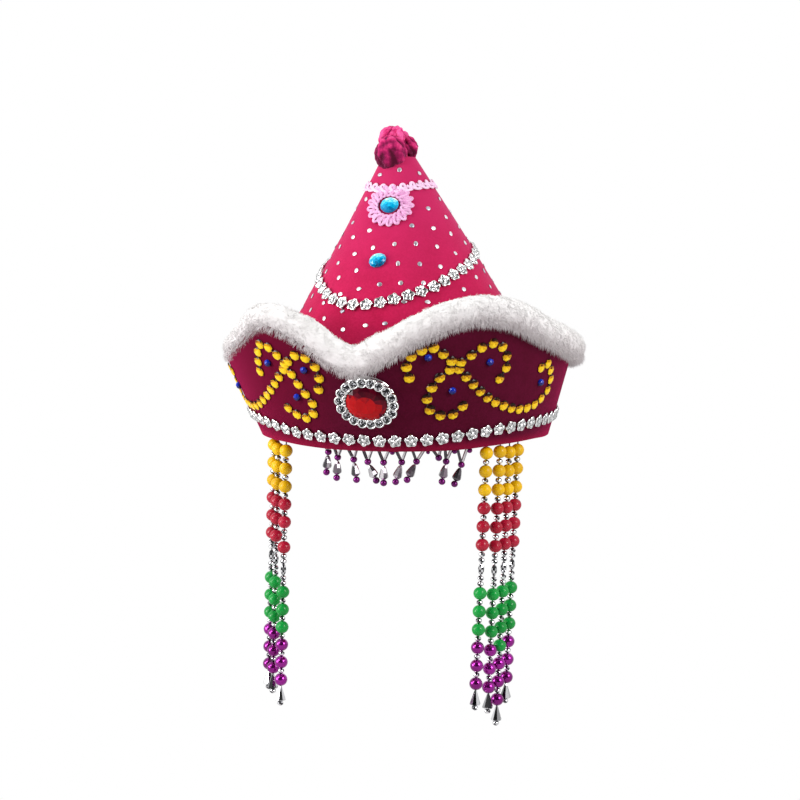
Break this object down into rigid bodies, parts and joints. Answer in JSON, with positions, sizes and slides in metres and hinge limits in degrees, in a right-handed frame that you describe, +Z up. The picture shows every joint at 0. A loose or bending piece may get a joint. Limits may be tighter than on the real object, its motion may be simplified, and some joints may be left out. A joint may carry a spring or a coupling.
{
  "type": "mongolian headdress",
  "caption": "Pointed felt hat with an upturned fur-edged brim, stone scrolls and an oval brooch, and strings of beads that hang from both sides of the rim.",
  "frame": {"origin": "middle of the opening at the rim, in the plane of the brim's lower edge, where the hat sits on a head", "axes": "+Z up through the cone, -Y towards the front with the brooch, +X towards the side with four strings"},
  "size_m": [0.2367, 0.2363, 0.3817],
  "materials": {
    "crimson_felt": "napped velvet felt",
    "wine_felt": "napped velvet felt",
    "white_fur": "plush",
    "pink_braid": "looped gimp braid",
    "cyan_stone": "faceted, foiled behind",
    "silver_plate": "plated",
    "foil_dot": "flat foil",
    "red_stone": "faceted, foiled behind",
    "gold_stone": "faceted, foiled behind",
    "blue_stone": "faceted, foiled behind",
    "dark_stone": "faceted",
    "yellow_bead": "gloss",
    "red_bead": "gloss",
    "green_bead": "gloss",
    "purple_bead": "coloured plating",
    "clear_drop": "silvered",
    "dark_thread": "twisted thread"
  },
  "bodies": {
    "root": {"crown": "crimson_felt", "brim_cuff": "wine_felt", "fur_trim": "white_fur", "top_knot": "crimson_felt", "pink_band": "pink_braid", "pink_ring": "pink_braid", "gem_upper": "cyan_stone", "gem_lower": "cyan_stone", "swag_chain": "silver_plate", "rim_chain": "silver_plate", "brooch_frame": "silver_plate", "brooch_stone": "red_stone", "scroll_left": "gold_stone", "scroll_right": "gold_stone", "scroll_gem_left_1": "blue_stone", "scroll_gem_left_2": "blue_stone", "scroll_gem_left_3": "blue_stone", "scroll_gem_left_4": "blue_stone", "scroll_gem_right_1": "blue_stone", "scroll_gem_right_2": "blue_stone", "scroll_gem_right_3": "blue_stone", "scroll_gem_right_4": "blue_stone", "strand_left_1": "yellow_bead", "strand_left_2": "yellow_bead", "strand_left_3": "yellow_bead", "strand_right_1": "yellow_bead", "strand_right_2": "yellow_bead", "strand_right_3": "yellow_bead", "strand_right_4": "yellow_bead", "fringe_01": "clear_drop", "fringe_02": "clear_drop", "fringe_03": "clear_drop", "fringe_04": "clear_drop", "fringe_05": "clear_drop", "fringe_06": "clear_drop", "fringe_07": "clear_drop", "fringe_08": "clear_drop", "fringe_09": "clear_drop", "fringe_10": "clear_drop"}
  },
  "joints": []
}
